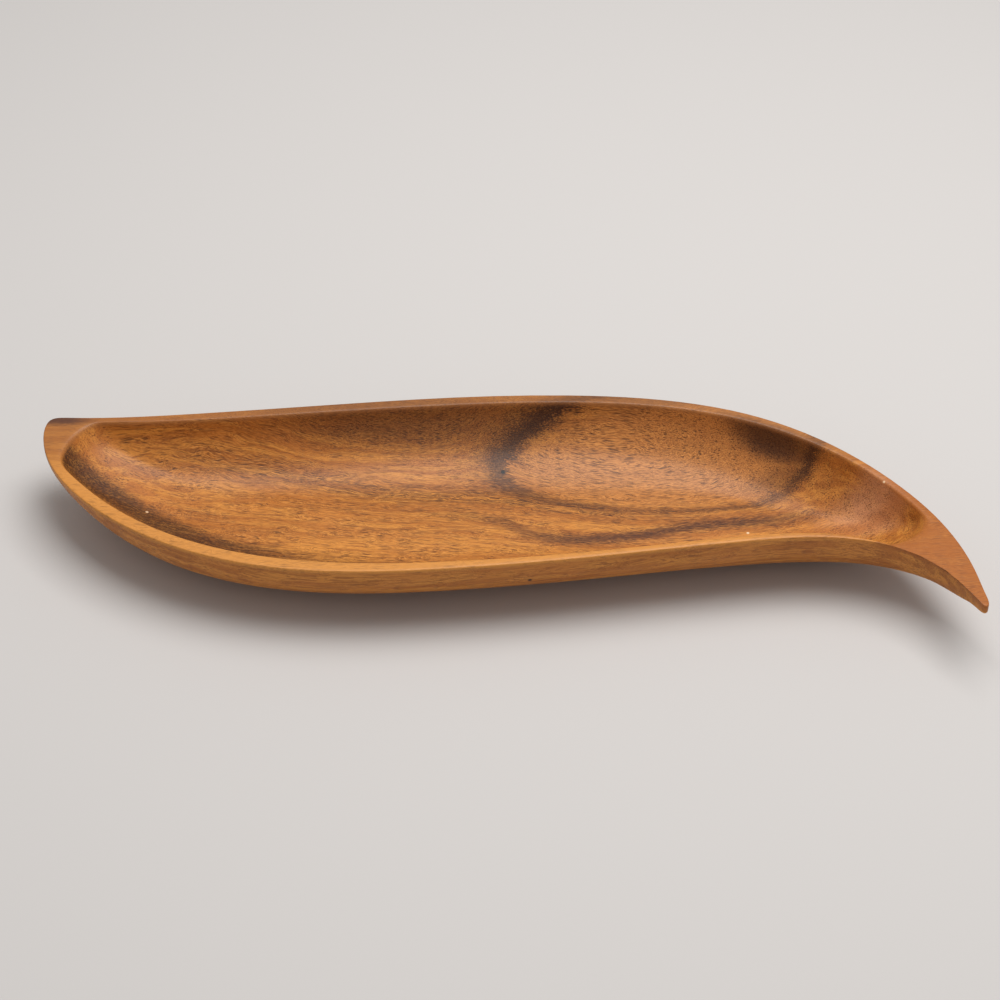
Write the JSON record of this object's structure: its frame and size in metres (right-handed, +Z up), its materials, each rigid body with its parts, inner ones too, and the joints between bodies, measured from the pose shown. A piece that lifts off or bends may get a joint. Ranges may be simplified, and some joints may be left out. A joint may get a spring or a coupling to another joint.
{
  "type": "leaf-shaped serving tray",
  "caption": "Shallow leaf-shaped wooden serving tray carved from one plank, with a hollowed middle, a narrow flat rim and a solid curved horn for a stem.",
  "frame": {"origin": "on the table, below the middle of the tray's outline", "axes": "+X along the leaf from its blunt end to its horn, +Y towards the far side, away from the horn's tip, +Z up"},
  "size_m": [0.54, 0.1898, 0.044],
  "materials": {
    "wood": "satin lacquer"
  },
  "bodies": {
    "root": {"leaf_tray": "wood"}
  },
  "joints": []
}
